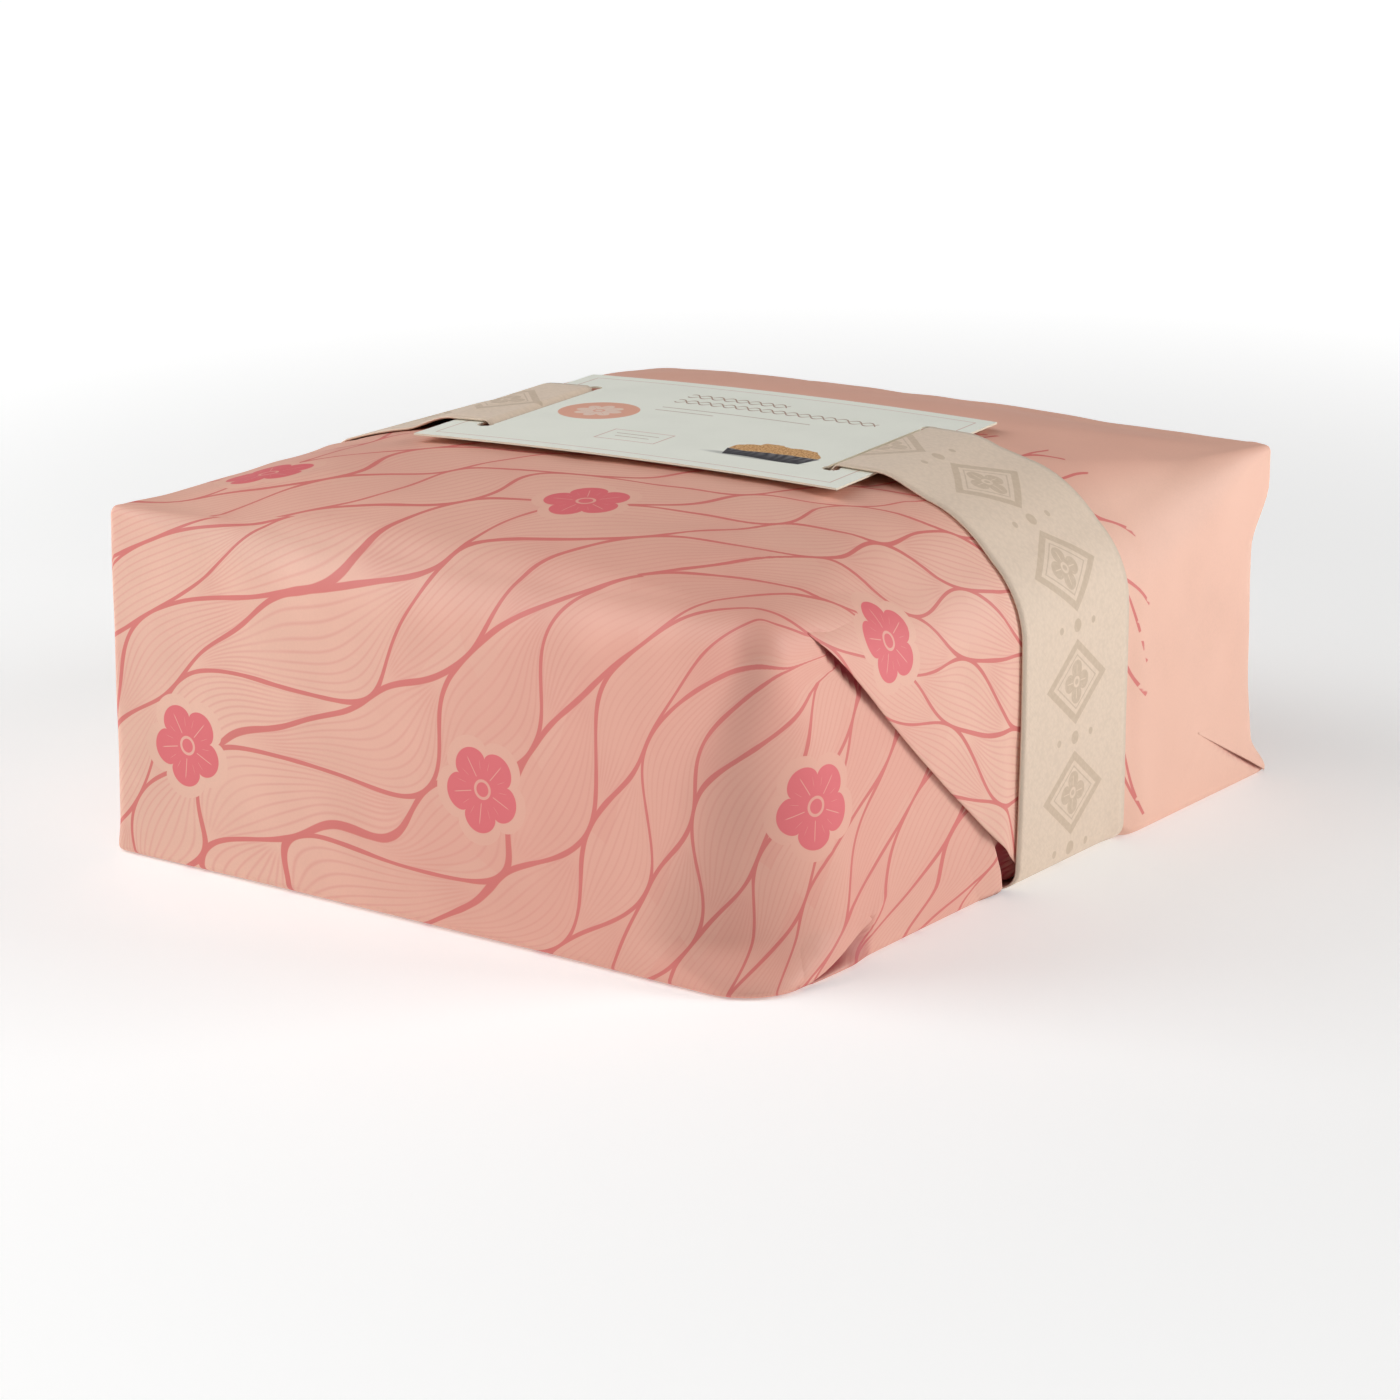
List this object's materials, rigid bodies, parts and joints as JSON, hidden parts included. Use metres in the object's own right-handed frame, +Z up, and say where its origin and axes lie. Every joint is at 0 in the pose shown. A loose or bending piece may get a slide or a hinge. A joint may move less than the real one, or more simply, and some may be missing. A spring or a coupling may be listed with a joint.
{
  "type": "gift-wrapped festive bread pack",
  "caption": "Low box-shaped pack of folded printed paper for a large festive loaf, with a wide lengthwise ribbon and a card threaded on it.",
  "frame": {"origin": "bottom centre of the pack's bounding box, on the surface it stands on", "axes": "+X along the ribbon towards the end seen on the right of the picture, +Y from the front to the back, +Z up"},
  "size_m": [0.2529, 0.2776, 0.1232],
  "materials": {
    "wrapping_paper": "satin printed paper, peach pink with rose motifs",
    "ribbon_cloth": "fine woven cream ribbon with a pale taupe ornament",
    "card_stock": "uncoated off-white card with a thin printed border"
  },
  "bodies": {
    "root": {"wrapped_pack": "wrapping_paper", "ribbon": "ribbon_cloth", "card": "card_stock"}
  },
  "joints": []
}
